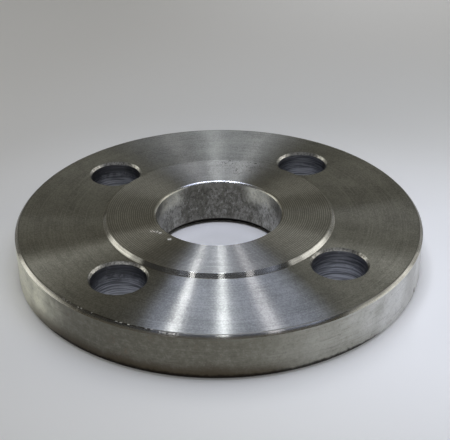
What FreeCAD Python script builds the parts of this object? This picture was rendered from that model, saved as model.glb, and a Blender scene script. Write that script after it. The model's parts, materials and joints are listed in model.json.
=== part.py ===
import FreeCAD, Part

import os

# A slip-on steel pipe flange: one forged ring, turned all over and drilled for its bolts.
# The origin is the centre of the back face, on which the ring lies, and +Z runs along the
# bore to the raised sealing face. All sizes are in millimetres.

# Bolts: their circle sets where the ring ends outside and where the raised face ends inside
bolt_circle_diameter = 100.0
bolt_count = 4
first_bolt_angle = 45.0
bolt_diameter = 16.0
bolt_hole_clearance = 2.0
bolt_hole_front_bevel_width = 0.65
bolt_hole_front_bevel_depth = 0.9
bolt_hole_back_bevel = 0.5

# Ring
rim_past_bolt_circle = 20.0
ring_thickness = 16.0
outer_front_chamfer = 1.0
outer_back_chamfer = 1.0

# Raised sealing face: its wall leans out to a foot just inside the bevels of the bolt holes
raised_face_height = 1.5
raised_face_wall_lean = 1.1
land_between_foot_and_bolt_holes = 0.25

# Bore: a plain slip fit over the pipe, with the larger chamfer on the back, where the pipe
# goes in and is welded
pipe_outside_diameter = 42.4
pipe_slip_clearance = 1.1
bore_front_chamfer = 0.7
bore_back_chamfer = 2.2

# How far a cutting shape runs past the face that it cuts
overrun = 1.0

# Sizes that follow from those above
bolt_circle_radius = bolt_circle_diameter / 2
bolt_hole_radius = (bolt_diameter + bolt_hole_clearance) / 2
bolt_hole_mouth_radius = bolt_hole_radius + bolt_hole_front_bevel_width
outer_radius = bolt_circle_radius + rim_past_bolt_circle
foot_radius = bolt_circle_radius - bolt_hole_mouth_radius - land_between_foot_and_bolt_holes
raised_face_radius = foot_radius - raised_face_wall_lean
bore_radius = (pipe_outside_diameter + pipe_slip_clearance) / 2
total_thickness = ring_thickness + raised_face_height

AXIS_START = FreeCAD.Vector(0, 0, 0)
AXIS = FreeCAD.Vector(0, 0, 1)


def at(radius, height):
    """A point of a turned section: its distance from the axis and its height."""
    return FreeCAD.Vector(radius, 0, height)


def turned(section):
    """The solid swept by a closed section, given by its corners, that is turned round the axis."""
    return Part.Face(Part.makePolygon(section + section[:1])).revolve(AXIS_START, AXIS, 360)


def ring_blank():
    """The ring before drilling: its whole section, turned round the bore axis."""
    return turned([
        at(bore_radius + bore_back_chamfer, 0),
        at(outer_radius - outer_back_chamfer, 0),
        at(outer_radius, outer_back_chamfer),
        at(outer_radius, ring_thickness - outer_front_chamfer),
        at(outer_radius - outer_front_chamfer, ring_thickness),
        at(foot_radius, ring_thickness),
        at(raised_face_radius, total_thickness),
        at(bore_radius + bore_front_chamfer, total_thickness),
        at(bore_radius, total_thickness - bore_front_chamfer),
        at(bore_radius, bore_back_chamfer),
    ])


def bolt_hole():
    """The space of one bolt hole, standing on the axis: its wall and the bevel of each mouth."""
    back_mouth_radius = bolt_hole_radius + bolt_hole_back_bevel
    return turned([
        at(0, -overrun),
        at(back_mouth_radius, -overrun),
        at(back_mouth_radius, 0),
        at(bolt_hole_radius, bolt_hole_back_bevel),
        at(bolt_hole_radius, ring_thickness - bolt_hole_front_bevel_depth),
        at(bolt_hole_mouth_radius, ring_thickness),
        at(bolt_hole_mouth_radius, ring_thickness + overrun),
        at(0, ring_thickness + overrun),
    ])


def bolt_holes():
    """Every bolt hole in its place on the bolt circle."""
    holes = []
    for number in range(bolt_count):
        hole = bolt_hole()
        hole.translate(FreeCAD.Vector(bolt_circle_radius, 0, 0))
        hole.rotate(AXIS_START, AXIS, first_bolt_angle + number * 360 / bolt_count)
        holes.append(hole)
    return holes


def flange():
    """The finished flange, one solid."""
    return ring_blank().cut(bolt_holes()).Solids[0]


os.makedirs("parts", exist_ok=True)
flange().exportStep("parts/flange.step")
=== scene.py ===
import bmesh
import bpy
import json
from math import cos, degrees, pi, radians, sin
from mathutils import Matrix, Vector, noise


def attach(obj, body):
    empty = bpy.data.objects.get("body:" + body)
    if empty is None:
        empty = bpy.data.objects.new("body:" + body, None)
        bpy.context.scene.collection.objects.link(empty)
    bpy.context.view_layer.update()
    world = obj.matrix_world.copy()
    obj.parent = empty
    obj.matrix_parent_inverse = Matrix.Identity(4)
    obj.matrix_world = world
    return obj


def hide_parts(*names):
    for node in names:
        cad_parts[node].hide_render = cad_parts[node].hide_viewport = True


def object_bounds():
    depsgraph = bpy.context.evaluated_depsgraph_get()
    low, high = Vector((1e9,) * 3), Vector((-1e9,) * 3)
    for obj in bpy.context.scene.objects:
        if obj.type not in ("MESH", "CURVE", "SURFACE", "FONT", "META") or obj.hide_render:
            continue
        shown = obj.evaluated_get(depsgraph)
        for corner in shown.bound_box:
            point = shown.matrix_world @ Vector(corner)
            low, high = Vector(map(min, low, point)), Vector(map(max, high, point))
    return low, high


# A slip-on pipe flange in bare turned steel, lying on its back face on a pale floor.
# Lengths here are in millimetres unless a name says otherwise, and MM turns them into metres.
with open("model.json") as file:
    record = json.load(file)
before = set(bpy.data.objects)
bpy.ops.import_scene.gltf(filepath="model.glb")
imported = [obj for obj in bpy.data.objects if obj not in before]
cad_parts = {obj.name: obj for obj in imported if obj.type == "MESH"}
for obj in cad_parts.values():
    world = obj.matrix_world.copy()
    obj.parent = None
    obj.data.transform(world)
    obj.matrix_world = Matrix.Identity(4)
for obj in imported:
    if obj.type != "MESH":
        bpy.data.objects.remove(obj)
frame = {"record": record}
cad_low, cad_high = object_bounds()
MM = 0.001

# Sizes that the frame gives
mounts = {mount["name"]: mount for mount in frame["record"]["mounts"]}
outer_radius = cad_high.x / MM
total_thickness = cad_high.z / MM
bore_radius = mounts["pipe_bore"]["dims"]["r_mm"]
bolt_circle_radius = mounts["bolt_holes"]["dims"]["pcd_mm"] / 2
bolt_hole_radius = mounts["bolt_holes"]["dims"]["hole_r_mm"]
bolt_count = mounts["bolt_holes"]["dims"]["count"]
first_bolt_angle = radians(45)

# The section's smaller sizes, as the part's source has them
raised_face_height = 1.5
raised_face_wall_lean = 1.1
land_between_foot_and_bolt_holes = 0.25
outer_chamfer = 1.0
bore_front_chamfer = 0.7
bore_back_chamfer = 2.2
bolt_hole_front_bevel_width = 0.65
bolt_hole_front_bevel_depth = 0.9
bolt_hole_back_bevel = 0.5
ring_thickness = total_thickness - raised_face_height
bolt_hole_mouth_radius = bolt_hole_radius + bolt_hole_front_bevel_width
foot_radius = bolt_circle_radius - bolt_hole_mouth_radius - land_between_foot_and_bolt_holes
raised_face_radius = foot_radius - raised_face_wall_lean

# How finely each round is divided, and the sharpest corner that is still shaded as a round
RIM_STEPS = 1440
FACE_STEPS = 640
HOLE_STEPS = 128
FLOOR_STEPS = 64
SHARPEST_ROUND = radians(24)

# Turned grooves of the sealing face. The section of one gives shares of the pitch and of the depth.
groove_margin = 0.2
groove_start = raised_face_radius - groove_margin
groove_end = bore_radius + bore_front_chamfer + groove_margin
groove_count = round((groove_start - groove_end) / 0.74)
groove_pitch = (groove_start - groove_end) / groove_count
groove_depth = 0.045
groove_tear = 0.006
groove_section = ((0.0, 0.0), (0.33, 0.9), (0.67, 0.9))
crest_drop = 0.01

# Small rounds, as steps out and up from the corner that each one softens
worn_edge_round = ((0.05, -0.06), (-0.09, 0.0), (-0.36, 0.0))
foot_round = ((0.15, 0.0), (-0.03, 0.04), (-0.13, 0.18))
wall_top_round = ((0.01, -0.06), (-0.10, -crest_drop))
bore_lip_drop = 0.22
smooth_bore_mouth = 1.0

# Stretches of the round with a look of their own: the middle and the reach each way, in degrees
# Where the rim's front is painted darkest, a painted dark reflection
rim_dark_reflection_stretch = (246, 24)
front_stretch = (260, 46)
# Where the rim darkens towards the floor: painted reflection of the contact shadow, with some grime
rim_shade_and_grime_stretch = (242, 38)
burred_stretch = (240, 18)
# Where the edge above the front bevel is painted dark, with painted glints
edge_glint_stretch = (237, 13)
# Where the front bevel is painted dark brown low down, a painted dark reflection of the room
bevel_dark_reflection_stretch = (256, 38)
# Where the bore's front bevel carries a painted highlight
bright_lip_stretch = (80, 38)
stretch_soft_end = 9
stretch_ragged_share = 0.35

# Small marks: where each lies, and how far it reaches
face_nicks = [((x, y, total_thickness), reach) for x, y, reach in
              ((-23.6, -10.6, 0.9), (-22.3, -11.1, 0.9), (-20.9, -12.2, 0.7), (-18.1, -16.5, 0.9))]
face_pits = ((12.0, 35.0, total_thickness), 11.0)
rim_pit = ((61.3, -33.9, 2.7), 1.1)

# The camera, fitted to the photograph in the part's own frame
camera_azimuth = radians(-5.852)
camera_elevation = radians(30.343)
camera_roll = radians(-0.427)
camera_distance = 357.11
camera_aim_right = 2.006
camera_aim_up = 12.062
focal_length_pixels = 1004.58
photo_width_pixels = 450
sensor_width = 36.0

# The middle of the floor's painted pool of light, in the camera's level frame, and a painted patch of light
# by the rim
light_pool_right = 122.0
light_pool_front = 32.0
light_patch = ((78.0, -20.0, 0.0), 44.0)

# Lamps higher than this, in metres, lie flat over the part
high_lamp = 0.7

# Colours that several lamps share
COOL = (0.97, 0.98, 1.0)
WARM = (1.0, 0.99, 0.95)
CREAM = (1.0, 0.99, 0.92)


# Shader graphs written as expressions

class Value:
    """A shader socket that arithmetic can be done with: each sum adds the Math node for it."""

    def __init__(self, graph, socket):
        self.graph = graph
        self.socket = socket

    def math(self, operation, *inputs):
        return self.graph.node("Math", {"operation": operation}, dict(enumerate(inputs)))

    def __add__(self, other):
        return self.math("ADD", self, other)

    def __sub__(self, other):
        return self.math("SUBTRACT", self, other)

    def __rsub__(self, other):
        return self.math("SUBTRACT", other, self)

    def __mul__(self, other):
        return self.math("MULTIPLY", self, other)

    def __truediv__(self, other):
        return self.math("DIVIDE", self, other)

    __radd__ = __add__
    __rmul__ = __mul__

    def root(self):
        return self.math("SQRT", self)

    def cosine(self):
        return self.math("COSINE", self)

    def larger(self, other):
        return self.math("MAXIMUM", self, other)

    def step(self, start, end):
        """0 below start, 1 above end, and a smooth rise between them; the ends may be reversed."""
        settings = {"interpolation_type": "SMOOTHSTEP"}
        low, high = min(start, end), max(start, end)
        rise = self.graph.node("MapRange", settings, {"Value": self, "From Min": low, "From Max": high})
        return rise if start < end else 1 - rise


class Graph:
    """A tree of shader nodes."""

    def __init__(self, tree):
        self.tree = tree

    def node(self, kind, settings=None, sockets=None, output=0):
        """Adds a node: its settings first, then the values or links of its sockets."""
        node = self.tree.nodes.new("ShaderNode" + kind)
        for name, setting in (settings or {}).items():
            setattr(node, name, setting)
        for name, value in (sockets or {}).items():
            self.plug(node.inputs[name], value)
        return Value(self, node.outputs[output])

    def plug(self, socket, value):
        if isinstance(value, Value):
            self.tree.links.new(value.socket, socket)
        else:
            socket.default_value = (*value, 1.0) if socket.type == "RGBA" else value

    def vector(self, x, y, z):
        return self.node("CombineXYZ", {}, {0: x, 1: y, 2: z})

    def vector_math(self, operation, *vectors, output="Vector"):
        return self.node("VectorMath", {"operation": operation}, dict(enumerate(vectors)), output)

    def scaled(self, vector, scale):
        return self.node("VectorMath", {"operation": "SCALE"}, {0: vector, "Scale": scale})

    def mix(self, mask, first, second):
        """One colour where the mask is 0, and the other where it is 1."""
        return self.node("Mix", {"data_type": "RGBA"}, {0: mask, 6: first, 7: second}, output=2)

    def coated(self, colour, coats):
        """A colour with others laid over it in turn, each given with its mask."""
        for mask, coat in coats:
            colour = self.mix(mask, colour, coat)
        return colour


class Finish(Graph):
    """One material and its shader graph."""

    def __init__(self, name):
        self.material = bpy.data.materials.new(name)
        self.material.use_nodes = True
        super().__init__(self.material.node_tree)
        self.tree.nodes.remove(self.tree.nodes["Principled BSDF"])
        self.place = self.scaled(self.node("TexCoord", output="Object"), 1 / MM)
        split = self.node("SeparateXYZ", {}, {"Vector": self.place}).socket.node.outputs
        self.x, self.y, self.z = (Value(self, socket) for socket in split)

    def radius(self):
        """Distance from the bore's axis."""
        return (self.x * self.x + self.y * self.y).root()

    def sideways(self):
        """-1 at the part's left end, 1 at its right end, and 0 at its front and back."""
        return self.x / self.radius()

    def cloud(self, size, detail, seed, stretch=None, roughness=0.5):
        """Soft noise from 0 to 1 with patches of about that size in millimetres."""
        where = stretch if stretch is not None else self.place
        settings = {"noise_dimensions": "4D"}
        sockets = {"Vector": where, "W": seed, "Scale": 1 / size, "Detail": detail, "Roughness": roughness}
        return self.node("TexNoise", settings, sockets)

    def bump(self, height, distance):
        """The normal of a surface raised by height times distance, in millimetres."""
        return self.node("Bump", {}, {"Height": height, "Distance": distance * MM, "Strength": 1.0})

    def towards_eye(self, normal):
        """1 where a surface with that normal is seen square on, 0 where it is seen edge on."""
        return 1 - self.node("LayerWeight", {}, {"Blend": 0.5, "Normal": normal}, output="Facing")

    def away(self, point):
        """Distance from that point."""
        return self.vector_math("DISTANCE", self.place, point, output="Value")

    def spot(self, point, reach):
        """1 close to that point, and 0 from reach millimetres away."""
        return self.away(point).step(reach, reach * 0.6)

    def around(self, stretch, ragged):
        """1 on that stretch of the round, with soft ends that the ragged noise moves."""
        middle, reach = stretch
        turn = radians(middle)
        along = (self.x * cos(turn) + self.y * sin(turn)) / self.radius()
        along = along + (ragged - 0.5) * (stretch_ragged_share * sin(radians(reach)))
        return along.step(cos(radians(reach + stretch_soft_end)), cos(radians(reach - stretch_soft_end)))

    def principled(self, **sockets):
        """A Principled shader with those sockets, named with underscores for spaces."""
        named = {name.replace("_", " "): value for name, value in sockets.items()}
        return self.node("BsdfPrincipled", {}, named)

    def blend(self, share, first, second):
        """Two shaders mixed, with that share of the second."""
        return self.node("MixShader", {}, {0: share, 1: first, 2: second})

    def done(self, shader):
        """Makes the shader the material's surface."""
        self.tree.links.new(shader.socket, self.tree.nodes["Material Output"].inputs["Surface"])
        return self.material

    def steel(self, **sockets):
        """Makes plain metal with those sockets the material's surface."""
        return self.done(self.principled(Metallic=1.0, **sockets))


def shade(colour, share):
    return tuple(share * part for part in colour)


# Steel finishes

def streaked(steel, body, rough, normal, flank_slope, outer_share, inner_share, haze):
    """Metal with fine round marks. Their flanks lean out and in by that slope, over those shares of the
    surface, so a highlight is drawn out into a streak across the marks. A flank that faces the eye shows
    more of itself than one that leans away. Haze is how much rougher the rest is."""
    radius = steel.radius()
    round_way = steel.vector(-1 * (steel.y / radius), steel.x / radius, 0.0)
    across_marks = steel.vector_math("CROSS_PRODUCT", round_way, normal)

    def leaning(slope):
        tilted = steel.vector_math("ADD", normal, steel.scaled(across_marks, slope))
        return steel.vector_math("NORMALIZE", tilted)

    def seen(facing, share):
        return steel.towards_eye(facing) / (steel.towards_eye(normal) + 0.05) * share

    def cut(facing, roughness):
        return steel.principled(Base_Color=body, Metallic=1.0, Roughness=roughness, Anisotropic=1.0,
                                Anisotropic_Rotation=0.25, Normal=facing)

    outer, inner = leaning(flank_slope), leaning(-flank_slope)
    outer_seen, inner_seen = seen(outer, outer_share), seen(inner, inner_share)
    flanks_seen = outer_seen + inner_seen
    flanks = steel.blend(outer_seen / flanks_seen, cut(inner, rough), cut(outer, rough))
    return steel.blend(flanks_seen, cut(normal, rough + haze), flanks)


def turned_steel(name, colour, roughness, flank_slope, outer_share, inner_share, seed, haze=0.11, mottle=1.0,
                 grooved=False, painted_dark_reflection=0.0):
    """Bare steel from the lathe. Mottle is how uneven it is, grooved gives it the sealing face's grooves,
    with painted shade in their valleys, pits and nicks, and the last argument is how strongly it is painted
    dark brown low on the front, a painted dark reflection."""
    steel = Finish(name)
    radius = steel.radius()
    mist = steel.cloud(9.0, detail=4.0, seed=seed)
    patch = steel.cloud(1.5, detail=4.0, seed=seed + 3.1)
    grit = steel.cloud(0.40, detail=2.0, seed=seed + 2.2)
    marked = steel.vector(radius * 3.0, steel.x * 0.04, steel.y * 0.04)
    marks = steel.cloud(1.0, detail=2.0, stretch=marked, seed=seed + 7.7)
    spokes = steel.scaled(steel.vector(steel.x / radius, steel.y / radius, 0.0), 90.0)
    chatter = steel.cloud(1.0, detail=2.0, stretch=spokes, seed=seed + 5.5)
    specks = steel.cloud(0.6, detail=1.0, seed=seed + 11.3).step(0.72, 0.78)
    dark = shade(colour, 0.58)
    light = shade(colour, 1.35)
    coats = [
        (mist.step(0.35, 0.7) * 0.6 + patch.step(0.4, 0.8) * 0.3, dark),
        (marks.step(0.45, 0.75) * 0.5, light),
        ((1 - marks).step(0.5, 0.8) * 0.5, dark),
        (grit.step(0.47, 0.68) * (0.5 * mottle), light),
        ((1 - grit).step(0.47, 0.68) * (0.5 * mottle), dark),
    ]
    speckle = (specks * (0.6 * mottle), (0.09, 0.085, 0.08))
    if grooved:
        # The grooves' valleys are painted darker: painted shade, with some dirt in them
        crest = ((radius - groove_start) * (2 * pi / groove_pitch)).cosine()
        pits = steel.cloud(0.7, detail=1.0, seed=73.0).step(0.62, 0.67)
        coats += [
            ((1 - crest) * 0.42, shade(colour, 0.4)),
            speckle,
            (steel.spot(*face_pits) * pits * 0.9, (0.04, 0.04, 0.035)),
        ]
    else:
        coats.append(speckle)
    body = steel.coated(colour, coats)
    rough = ((mist - 0.5) * 0.06 + (patch - 0.5) * 0.06 + (grit - 0.5) * 0.08) * mottle + roughness
    normal = steel.bump((marks * 0.006 + chatter * 0.009 + patch * 0.007 + grit * 0.010) * mottle, 1.0)
    shader = streaked(steel, body, rough, normal, flank_slope, outer_share, inner_share, haze)
    if grooved:
        torn = steel.cloud(0.45, detail=1.0, seed=71.0).step(0.46, 0.54)
        nicks = sum(steel.spot(*nick) for nick in face_nicks) * torn
        bright = steel.principled(Base_Color=(0.85, 0.84, 0.80), Roughness=0.5, Normal=normal)
        shader = steel.blend(nicks, shader, bright)
    # Painted dark reflection: low on the front the steel is painted dark brown, for the dark room that it
    # reflects there
    if painted_dark_reflection:
        brown = steel.principled(Base_Color=(0.10, 0.085, 0.05), Roughness=0.6, Normal=normal)
        low = (steel.z + patch * 0.4).step(ring_thickness - 0.1, ring_thickness - 0.6)
        shader = steel.blend(steel.around(bevel_dark_reflection_stretch, mist) * low * painted_dark_reflection, shader, brown)
    return steel.done(shader)


def chattered_steel():
    """The bevels of the bolt holes, cut with a chattering tool."""
    steel = Finish("chattered_steel")
    patch = steel.cloud(0.7, detail=3.0, seed=50.0)
    body = steel.mix(patch.step(0.35, 0.65), (0.50, 0.495, 0.465), (0.20, 0.195, 0.18))
    rough = (patch - 0.5) * 0.25 + 0.34
    return steel.steel(Base_Color=body, Roughness=rough, Normal=steel.bump(patch, 0.10))


def rim_steel():
    """The outside of the ring: an older skin with fine lines round it. Painted light: a paler left end for a
    highlight, a dark brown front for the dark room it reflects, darker towards the floor there with some
    grime, and a black foot for the contact shadow."""
    steel = Finish("rim_steel")
    mist = steel.cloud(9.0, detail=4.0, seed=2.0)
    patch = steel.cloud(1.6, detail=4.0, roughness=0.6, seed=5.0)
    grit = steel.cloud(0.45, detail=2.0, seed=6.0)
    along = steel.vector(steel.x * 0.10, steel.y * 0.10, steel.z * 1.8)
    lines = steel.cloud(1.0, detail=3.0, stretch=along, seed=17.0)
    rust = steel.cloud(6.0, detail=5.0, roughness=0.7, seed=8.0).step(0.58, 0.74)
    specks = steel.cloud(0.7, detail=1.0, seed=14.0).step(0.70, 0.76)
    front = steel.around(front_stretch, mist)
    clear = 1 - front * 0.65
    # Painted shade with some grime: darker towards the floor at the front, for the contact shadow that the
    # rim reflects there
    shade_and_grime = steel.around(rim_shade_and_grime_stretch, mist) * (steel.z + mist * 4.0).step(9.5, 3.5)
    # Painted contact shadow: near black at the rim's foot and over its back bevel, reaching higher at the
    # front
    foot = (steel.z + patch * 1.5 - front * 1.2).step(2.0, 1.0)
    # Painted highlight: the rim is painted paler and yellower towards its left end, where it catches the
    # cream lamps
    body = steel.mix(steel.sideways().step(-0.3, -0.8), (0.62, 0.62, 0.60), (0.80, 0.787, 0.64))
    # Painted dark reflection: the rim's front is painted dark brown, darker on its left half and darkest in
    # one stretch, for the dark room it reflects
    front_body = steel.mix(steel.sideways().step(0.0, 0.5), (0.25, 0.245, 0.205), (0.41, 0.405, 0.36))
    body = steel.coated(body, [
        (front, front_body),
        (steel.around(rim_dark_reflection_stretch, mist), (0.15, 0.143, 0.115)),
        (mist.step(0.35, 0.7) * 0.35, (0.15, 0.145, 0.115)),
        (patch.step(0.45, 0.75) * clear * 0.30, (0.62, 0.61, 0.57)),
        ((1 - patch).step(0.5, 0.75) * 0.30, (0.10, 0.095, 0.075)),
        (lines.step(0.5, 0.75) * clear * 0.20, (0.55, 0.545, 0.51)),
        ((1 - lines).step(0.5, 0.75) * 0.30, (0.10, 0.095, 0.075)),
        (grit.step(0.5, 0.8) * clear * 0.30, (0.60, 0.595, 0.57)),
        ((1 - grit).step(0.5, 0.8) * 0.30, (0.10, 0.095, 0.08)),
        (rust * 0.4, (0.26, 0.16, 0.11)),
        (shade_and_grime * 0.85, (0.06, 0.044, 0.026)),
        (foot * 0.9, (0.012, 0.010, 0.008)),
        (specks * 0.6, (0.06, 0.055, 0.05)),
        (steel.spot(*rim_pit), (0.03, 0.022, 0.02)),
    ])
    rough = (mist - 0.5) * 0.12 + (patch - 0.5) * 0.12 + (lines - 0.5) * 0.10 + 0.40
    normal = steel.bump(patch * 0.014 + lines * 0.012 + grit * 0.010, 1.0)
    return steel.steel(Base_Color=body, Roughness=rough, Normal=normal)


def worn_edge_steel():
    """The rounded edge between the face and the front bevel, painted dark along one stretch with painted
    glints of its burrs there.
    """
    steel = Finish("worn_edge_steel")
    clusters = steel.cloud(3.5, detail=2.0, seed=62.0).step(0.46, 0.54)
    dots = steel.cloud(0.9, detail=2.0, seed=60.0).step(0.50, 0.56) * clusters
    zone = steel.around(edge_glint_stretch, steel.cloud(9.0, detail=4.0, seed=2.0))
    # Painted dark reflection along the stretch, and painted glints on its burrs
    body = steel.mix(zone, (0.26, 0.255, 0.235), (0.05, 0.045, 0.035))
    body = steel.mix(zone * dots, body, (0.95, 0.94, 0.90))
    normal = steel.bump(steel.cloud(0.5, detail=2.0, seed=61.0), 0.12)
    return steel.steel(Base_Color=body, Roughness=0.38, Normal=normal)


def bore_steel():
    """The bore's wall: bored rough, blotched and finely pitted, smoother at its mouth and in its highlight.
    Its sides are painted paler, with a bright painted highlight on them near the top."""
    steel = Finish("bore_steel")
    tall = steel.vector(steel.x, steel.y, steel.z * 0.65)
    mist = steel.cloud(4.0, detail=5.0, roughness=0.65, stretch=tall, seed=1.0)
    patch = steel.cloud(1.0, detail=4.0, roughness=0.7, stretch=tall, seed=2.0)
    grit = steel.cloud(0.45, detail=3.0, roughness=0.6, seed=3.0)
    pits = steel.cloud(0.7, detail=2.0, seed=9.0)
    # Painted light: the sides of the bore are painted paler, and the worn mask is a bright painted highlight
    # on them near the top
    aside = steel.sideways() * steel.sideways()
    beside_ends = aside.step(0.18, 0.42) * (1 - aside.step(0.70, 0.92) * 0.8)
    worn = beside_ends * (steel.z + mist * 7.0).step(12.5, 16.5)
    off_highlight = 1 - worn * 0.7
    rough_part = steel.z.step(16.2, 14.5) * off_highlight
    body = steel.coated((0.24, 0.232, 0.205), [
        (aside.step(0.15, 0.75), (0.42, 0.412, 0.375)),
        (worn * 0.6, (0.98, 0.96, 0.80)),
        (mist.step(0.40, 0.58) * 0.7 * off_highlight, (0.115, 0.11, 0.09)),
        (patch.step(0.50, 0.58) * 0.65 * rough_part, (0.09, 0.085, 0.07)),
        ((1 - patch).step(0.54, 0.64) * 0.38, (0.54, 0.535, 0.50)),
        ((1 - grit).step(0.5, 0.7) * 0.4, (0.12, 0.12, 0.11)),
        (pits.step(0.60, 0.68) * 0.6 * rough_part, (0.03, 0.03, 0.025)),
    ])
    rough = (mist - 0.5) * 0.2 + (patch - 0.5) * 0.2 + (grit - 0.5) * 0.2 + 0.33
    normal = steel.bump(pits * -0.09 + mist * 0.10 + patch * 0.06 + grit * 0.04, 1.0)
    return steel.steel(Base_Color=body, Roughness=rough, Normal=normal)


def bore_edge_steel():
    """The bevel at the bore's front mouth, soft, with a painted highlight along its back."""
    steel = Finish("bore_edge_steel")
    mist = steel.cloud(4.0, detail=2.0, seed=66.0)
    body = steel.mix(steel.around(bright_lip_stretch, mist), (0.40, 0.395, 0.36), (0.92, 0.92, 0.90))
    normal = steel.bump(steel.cloud(0.8, detail=2.0, seed=65.0), 0.03)
    return steel.steel(Base_Color=body, Roughness=0.24, Normal=normal)


def weld_bevel_steel():
    """The large bevel at the bore's back mouth, painted dark for the shade of the crevice that it faces into.
    """
    steel = Finish("weld_bevel_steel")
    patch = steel.cloud(1.3, detail=3.0, seed=68.0)
    return steel.steel(Base_Color=steel.mix(patch, (0.07, 0.065, 0.06), (0.03, 0.028, 0.025)), Roughness=0.45)


def drilled_steel():
    """The walls of the bolt holes: rings left by the drill, dark and patchy near the top."""
    steel = Finish("drilled_steel")
    along = steel.vector(steel.x * 0.12, steel.y * 0.12, steel.z * 2.2)
    rings = steel.cloud(1.0, detail=3.0, stretch=along, seed=4.0)
    smear = steel.cloud(2.0, detail=4.0, roughness=0.6, seed=6.0)
    dark = (steel.z + (smear - 0.5) * 9.0).step(8.5, 12.5)
    body = steel.coated((0.63, 0.635, 0.665), [
        (rings.step(0.38, 0.62), (0.22, 0.224, 0.236)),
        (dark * (0.8 - steel.x.step(-5.0, 5.0) * 0.4), (0.13, 0.13, 0.135)),
        (smear.step(0.60, 0.70) * 0.5, (0.60, 0.60, 0.62)),
    ])
    rough = (rings - 0.5) * 0.2 + (smear - 0.5) * 0.2 + 0.32
    normal = steel.bump(rings * 0.10 + smear * 0.06, 1.0)
    return steel.steel(Base_Color=body, Roughness=rough, Normal=normal)


def finishes():
    """The finishes in the order of the numbers that the faces carry."""
    return [
        turned_steel("faced_steel", (0.41, 0.412, 0.388), roughness=0.205, flank_slope=0.56,
                     outer_share=0.30, inner_share=0.035, seed=0.0),
        turned_steel("sealing_steel", (0.585, 0.58, 0.545), roughness=0.235, flank_slope=0.42,
                     outer_share=0.33, inner_share=0.05, seed=20.0, haze=0.18, grooved=True),
        turned_steel("wall_steel", (0.50, 0.495, 0.465), roughness=0.13, flank_slope=0.29,
                     outer_share=0.0, inner_share=0.30, seed=30.0, haze=0.0, mottle=0.1),
        turned_steel("bevel_steel", (0.375, 0.37, 0.345), roughness=0.165, flank_slope=0.30,
                     outer_share=0.0, inner_share=0.015, seed=40.0, haze=0.0, mottle=0.3, painted_dark_reflection=0.5),
        chattered_steel(),
        rim_steel(),
        bore_steel(),
        drilled_steel(),
        worn_edge_steel(),
        bore_edge_steel(),
        weld_bevel_steel(),
    ]


FACE, SEALING, WALL, BEVEL, MOUTH, RIM, BORE, DRILLED, EDGE, BORE_EDGE, WELD_BEVEL = range(11)


# The flange's mesh: rounds of vertices, skinned one to the next

def at(radius, angle, height, centre=(0.0, 0.0)):
    """The point at that distance and angle from a centre, and at that height."""
    return Vector((centre[0] + radius * cos(angle), centre[1] + radius * sin(angle), height)) * MM


def ring(mesh, radius, height, steps, centre=(0.0, 0.0), worn=None):
    """A closed round of vertices; worn gives the change of radius and height at an angle."""
    verts = []
    for step in range(steps):
        angle = 2 * pi * step / steps
        out, up = worn(angle, height) if worn else (0.0, 0.0)
        verts.append(mesh.verts.new(at(radius + out, angle, height + up, centre)))
    return verts


def skin(mesh, rings, kinds):
    """Faces between each pair of neighbouring rounds, with the finish given for that pair."""
    for first, second, kind in zip(rings, rings[1:], kinds):
        for a, b, c, d in zip(first, first[1:] + first[:1], second[1:] + second[:1], second):
            mesh.faces.new((a, b, c, d)).material_index = kind


def fill(mesh, rounds, kind, up):
    """A flat face inside the first round, with the other rounds as its holes."""
    edges = []
    for verts in rounds:
        for pair in zip(verts, verts[1:] + verts[:1]):
            edges.append(mesh.edges.get(pair) or mesh.edges.new(pair))
            edges[-1].smooth = False
    made = bmesh.ops.triangle_fill(mesh, use_beauty=True, use_dissolve=False, edges=edges)
    for face in made["geom"]:
        if isinstance(face, bmesh.types.BMFace):
            face.material_index = kind
            if (face.normal.z > 0) != up:
                face.normal_flip()


def placed(name, data):
    """A new object in the scene."""
    thing = bpy.data.objects.new(name, data)
    bpy.context.scene.collection.objects.link(thing)
    return thing


def finished(mesh, name, materials):
    """The mesh as an object in the scene, with its materials."""
    data = bpy.data.meshes.new(name)
    mesh.to_mesh(data)
    mesh.free()
    for material in materials:
        data.materials.append(material)
    return placed(name, data)


def spread(start, end, count):
    """That many equal steps from start to end, both ends included."""
    return [start + (end - start) * i / count for i in range(count + 1)]


def grain(x, y, z=0.0):
    """Repeatable noise from about -1 to 1."""
    return noise.noise(Vector((x, y, z)))


def round_grain(angle, radius, size, layer=0.0):
    """Noise along a round, with features of about that size."""
    return grain(radius * cos(angle) / size, radius * sin(angle) / size, layer)


def near(angle, stretch):
    """1 at the stretch's middle, falling to 0 at its ends."""
    middle, reach = stretch
    away = abs((degrees(angle) - middle + 180) % 360 - 180)
    return max(0.0, 1 - away / reach)


def rim_rings(mesh):
    """From the back face's edge, up the rim and over the front bevel."""
    rows = 6

    def waved(angle, height):
        return -0.03 - 0.02 * round_grain(angle, outer_radius, 12, height * 0.15), 0.0

    def burred(angle):
        return min(1.0, 2.5 * near(angle, burred_stretch))

    def edge(angle, height):
        return (0.006 + 0.04 * burred(angle)) * round_grain(angle, outer_radius, 1.2, 9.0), 0.0

    def burr(angle, height):
        tooth = round_grain(angle, outer_radius, 0.55) + 0.5 * round_grain(angle, outer_radius, 3.0, 5.0)
        return burred(angle) * 0.06 * tooth, burred(angle) * (0.02 + 0.07 * tooth)

    heights = spread(outer_chamfer, ring_thickness - outer_chamfer, rows)
    edge_radius = outer_radius - outer_chamfer
    rings = [ring(mesh, edge_radius, 0.0, RIM_STEPS)]
    rings += [ring(mesh, outer_radius, height, RIM_STEPS, worn=waved) for height in heights]
    for (out, up), worn in zip(worn_edge_round, (edge, burr, None)):
        rings.append(ring(mesh, edge_radius + out, ring_thickness + up, RIM_STEPS, worn=worn))
    skin(mesh, rings, [RIM] * (rows + 1) + [BEVEL, EDGE, EDGE])
    return rings[0], rings[-1]


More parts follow.
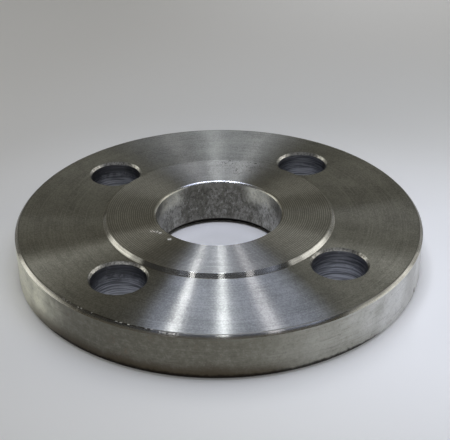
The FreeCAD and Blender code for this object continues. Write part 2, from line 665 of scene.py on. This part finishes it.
def centre_rings(mesh):
    """From the foot of the raised face, over its grooves and down the bore to the back face."""
    top = total_thickness
    bore_rows = 14

    def torn(radius):
        def worn(angle, height):
            out = -0.03 * round_grain(angle, outer_radius, 9, radius * 3)
            return out, groove_tear * round_grain(angle, radius, 0.8, radius)
        return worn

    def pitted(angle, height):
        coarse = round_grain(angle, bore_radius, 1.6, height / 1.6)
        fine = round_grain(angle, bore_radius, 0.6, height / 0.6)
        return 0.03 + 0.03 * coarse + 0.02 * fine, 0.0

    rings = [ring(mesh, foot_radius + out, ring_thickness + up, FACE_STEPS) for out, up in foot_round]
    rings += [ring(mesh, raised_face_radius + out, top + up, FACE_STEPS) for out, up in wall_top_round]
    kinds = [WALL] * 4 + [SEALING]
    for number in range(groove_count):
        for share, depth in groove_section:
            radius = groove_start - (number + share) * groove_pitch
            height = top - crest_drop - depth * groove_depth
            rings.append(ring(mesh, radius, height, FACE_STEPS, worn=torn(radius)))
            kinds.append(SEALING)
    rings.append(ring(mesh, groove_end, top - crest_drop, FACE_STEPS))
    rings.append(ring(mesh, bore_radius + bore_front_chamfer, top, FACE_STEPS))
    rings.append(ring(mesh, bore_radius + bore_front_chamfer / 2, top - bore_lip_drop, FACE_STEPS))
    for height in spread(top - bore_front_chamfer, bore_back_chamfer, bore_rows):
        worn = pitted if height < top - smooth_bore_mouth else None
        rings.append(ring(mesh, bore_radius, height, FACE_STEPS, worn=worn))
    rings.append(ring(mesh, bore_radius + bore_back_chamfer, 0.0, FACE_STEPS))
    kinds += [SEALING, BORE_EDGE, BORE_EDGE] + [BORE] * bore_rows + [WELD_BEVEL]
    skin(mesh, rings, kinds)
    return rings[0], rings[-1]


def bolt_hole_rings(mesh, number):
    """One bolt hole, from its front mouth down to its back one."""
    angle = first_bolt_angle + 2 * pi * number / bolt_count
    centre = bolt_circle_radius * cos(angle), bolt_circle_radius * sin(angle)
    rows = 28

    def chattered(turn, height):
        bead = grain(9 * cos(turn) + 9 * number, 9 * sin(turn))
        return 0.07 * bead, 0.05 * grain(7 * cos(turn), 7 * sin(turn) + 9 * number)

    def drilled(turn, height):
        lobe = grain(3 * cos(turn) + 9 * number, 3 * sin(turn), height * 0.3)
        groove = grain(number * 5.0 + 0.5 * cos(turn), 0.5 * sin(turn), height * 1.7)
        return 0.03 + 0.02 * groove + 0.02 * lobe, 0.0

    def hole_ring(radius, height, worn=None):
        return ring(mesh, radius, height, HOLE_STEPS, centre, worn)

    bevel_middle = bolt_hole_radius + bolt_hole_front_bevel_width / 2
    heights = spread(ring_thickness - bolt_hole_front_bevel_depth, bolt_hole_back_bevel, rows)
    rings = [hole_ring(bolt_hole_mouth_radius, ring_thickness)]
    rings.append(hole_ring(bevel_middle, ring_thickness - bolt_hole_front_bevel_depth / 2, chattered))
    rings += [hole_ring(bolt_hole_radius, height, drilled) for height in heights]
    rings.append(hole_ring(bolt_hole_radius + bolt_hole_back_bevel, 0.0))
    skin(mesh, rings, [MOUTH, MOUTH] + [DRILLED] * rows + [MOUTH])
    return rings[0], rings[-1]


def build_flange():
    """The whole flange as one closed mesh."""
    mesh = bmesh.new()
    back_edge, front_edge = rim_rings(mesh)
    foot, bore_back = centre_rings(mesh)
    mouths = [bolt_hole_rings(mesh, number) for number in range(bolt_count)]
    fill(mesh, [front_edge, foot] + [front for front, back in mouths], FACE, up=True)
    fill(mesh, [back_edge, bore_back] + [back for front, back in mouths], FACE, up=False)
    bmesh.ops.recalc_face_normals(mesh, faces=mesh.faces)
    for face in mesh.faces:
        face.smooth = True
    for edge in mesh.edges:
        edge.smooth = edge.smooth and edge.calc_face_angle(0.0) < SHARPEST_ROUND
    return finished(mesh, "turned_flange", finishes())


flange = build_flange()
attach(flange, "root")
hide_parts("flange")


# The studio: a pale floor, soft lamps and the photograph's camera

def view_frame(azimuth, elevation, roll=0.0):
    """Right, up and back directions of a camera that looks at the part from there."""
    back = Vector((sin(azimuth) * cos(elevation), -cos(azimuth) * cos(elevation), sin(elevation)))
    level = Vector((cos(azimuth), sin(azimuth), 0.0))
    raised = back.cross(level)
    right = level * cos(roll) + raised * sin(roll)
    up = raised * cos(roll) - level * sin(roll)
    return right, up, back


to_right, straight_up, to_front = view_frame(camera_azimuth, 0.0)


def build_camera():
    right, up, back = view_frame(camera_azimuth, camera_elevation, camera_roll)
    data = bpy.data.cameras.new("camera")
    data.sensor_fit = "HORIZONTAL"
    data.sensor_width = sensor_width
    data.lens = focal_length_pixels / photo_width_pixels * sensor_width
    data.clip_start = 0.01
    camera = placed("camera", data)
    place = (right * camera_aim_right + up * camera_aim_up + back * camera_distance) * MM
    camera.matrix_world = Matrix.Translation(place) @ Matrix((right, up, back)).transposed().to_4x4()
    bpy.context.scene.camera = camera


def softbox(name, side, height, behind, size, level, tint, turn=0.0):
    """A rectangular lamp that faces the part, or lies flat over it when it is high. Side, height, behind
    and size are in metres as the camera sees them, level is how bright its face is, where 1 is white, and
    turn turns the lamp in its own plane, in degrees."""
    place = to_right * side - to_front * behind + straight_up * height
    if height > high_lamp:
        across, facing = to_right, straight_up
    else:
        facing = place.normalized()
        across = straight_up.cross(facing).normalized()
    data = bpy.data.lights.new(name, "AREA")
    data.shape = "RECTANGLE"
    data.size, data.size_y = size
    data.color = tint
    data.energy = level * pi * size[0] * size[1]
    lamp = placed(name, data)
    aimed = Matrix((across, facing.cross(across), facing)).transposed().to_4x4()
    lamp.matrix_world = Matrix.Translation(place) @ aimed @ Matrix.Rotation(radians(turn), 4, "Z")


def floor_paint():
    """A pale sheet painted with a pool of light: whitest at the part's right front, greyer further off, paler
    again far behind on the right, and whiter through the bore. It also shines a little there to the eye and
    in the steel, which no lamp sees."""
    paint = Finish("floor_paint")
    radius = paint.radius()
    away = paint.away(tuple(to_right * light_pool_right + to_front * light_pool_front))
    inside_bore = radius.step(22.8, 21.6)
    # Painted light in the colour: a pool of light at the right front, greyer further off, a paler stretch far
    # behind on the right, and whiter through the bore
    colour = paint.coated((0.87, 0.87, 0.845), [
        (away.step(90.0, 330.0), (0.69, 0.67, 0.62)),
        (away.step(140.0, 20.0), (0.93, 0.94, 0.97)),
        (paint.y.step(120.0, 300.0) * paint.x.step(-60.0, 140.0), (0.95, 0.93, 0.88)),
        (inside_bore, (0.94, 0.94, 0.95)),
    ])
    seen = paint.node("LightPath", output="Is Camera Ray")
    for ray in ("Is Glossy Ray", "Is Transmission Ray"):
        seen = seen.larger(paint.node("LightPath", output=ray))
    # Painted light: the floor shines to the eye and in the steel round the pool of light, in a ring round the
    # part and in a patch by the rim, but not close against the rim
    open_floor = away.step(170.0, 0.0) + radius.step(135.0, 74.0) * 0.40 + paint.spot(*light_patch) * 0.55
    # Painted light: the floor seen through the bore shines, up to a crisp edge short of the bore's wall
    in_bore = inside_bore * (radius.step(12.0, 22.0) * 0.6 + 0.75)
    shine = (open_floor * radius.step(64.0, 84.0) + in_bore) * seen
    glow = paint.mix(shine, (0.0, 0.0, 0.0), (0.21, 0.215, 0.235))
    shader = paint.principled(Base_Color=colour, Roughness=0.55, Emission_Color=glow, Emission_Strength=1.0)
    return paint.done(shader)


def build_floor():
    """A round sheet on the ground whose far edge curves up. Its section is in metres."""
    section = ((0.02, 0), (0.2, 0), (0.6, 0), (2.4, 0), (2.7, 0.04), (2.9, 0.15), (3.0, 0.35))
    mesh = bmesh.new()
    rounds = [ring(mesh, radius / MM, height / MM, FLOOR_STEPS) for radius, height in section]
    skin(mesh, rounds, [0] * len(section))
    mesh.faces.new(rounds[0])
    bmesh.ops.recalc_face_normals(mesh, faces=mesh.faces)
    for face in mesh.faces:
        face.smooth = True
        if face.normal.z < 0:
            face.normal_flip()
    finished(mesh, "floor", [floor_paint()])


def build_world():
    """A dim brownish room, darkest on the camera's side."""
    world = bpy.data.worlds.new("room")
    bpy.context.scene.world = world
    world.use_nodes = True
    room = Graph(world.node_tree)
    way = room.node("TexCoord", output="Generated")
    rightness = room.vector_math("DOT_PRODUCT", way, tuple(to_right), output="Value")
    frontness = room.vector_math("DOT_PRODUCT", way, tuple(to_front), output="Value")
    colour = room.coated((0.128, 0.119, 0.092), [
        (rightness.step(-0.5, 0.5), (0.235, 0.231, 0.203)),
        (frontness.step(-0.4, 0.3), (0.05, 0.05, 0.05)),
    ])
    room.plug(room.tree.nodes["Background"].inputs["Color"], colour)


build_camera()
build_floor()
build_world()
softbox("overhead_box", 0.12, 1.0, -0.055, (1.03, 0.33), 1.75, (0.64, 0.72, 1.0))
softbox("overhead_back_box", -0.075, 1.0, 0.18, (0.31, 0.14), 1.1, (0.66, 0.78, 1.0))
softbox("middle_strip", 0.019, 0.98, -0.12, (0.046, 0.50), 7.2, (0.94, 0.97, 1.0))
softbox("left_strip", -0.237, 0.98, -0.12, (0.052, 0.51), 6.8, COOL, turn=-14.5)
softbox("right_strip", 0.274, 0.98, -0.12, (0.080, 0.52), 2.7, (0.98, 0.955, 1.0), turn=17)
softbox("back_box", -0.075, 0.98, 0.45, (0.14, 0.34), 0.95, (0.95, 0.97, 1.0))
softbox("back_strip", 0.012, 0.97, 0.50, (0.035, 0.36), 4.4, (0.93, 0.96, 1.0))
softbox("left_box", -1.0, 0.35, 0.30, (0.62, 0.38), 0.95, CREAM)
softbox("left_wide_box", -1.03, 0.37, 0.25, (0.95, 0.58), 0.72, CREAM)
softbox("right_box", 1.0, 0.36, 0.20, (0.60, 0.38), 1.05, WARM)
softbox("right_wide_box", 1.04, 0.38, 0.18, (1.1, 0.62), 0.66, WARM)
softbox("left_back_box", -0.80, 0.15, 0.86, (0.40, 0.16), 0.35, (1.0, 1.0, 0.97))
softbox("right_high_box", 0.98, 0.69, -0.10, (0.40, 0.30), 0.8, WARM)
softbox("right_back_box", 0.78, 0.17, 0.88, (0.60, 0.20), 0.5, COOL)
softbox("front_box", 0.05, 0.25, -1.1, (2.8, 0.42), 2.9, COOL)
bpy.context.scene.view_settings.view_transform = "Standard"
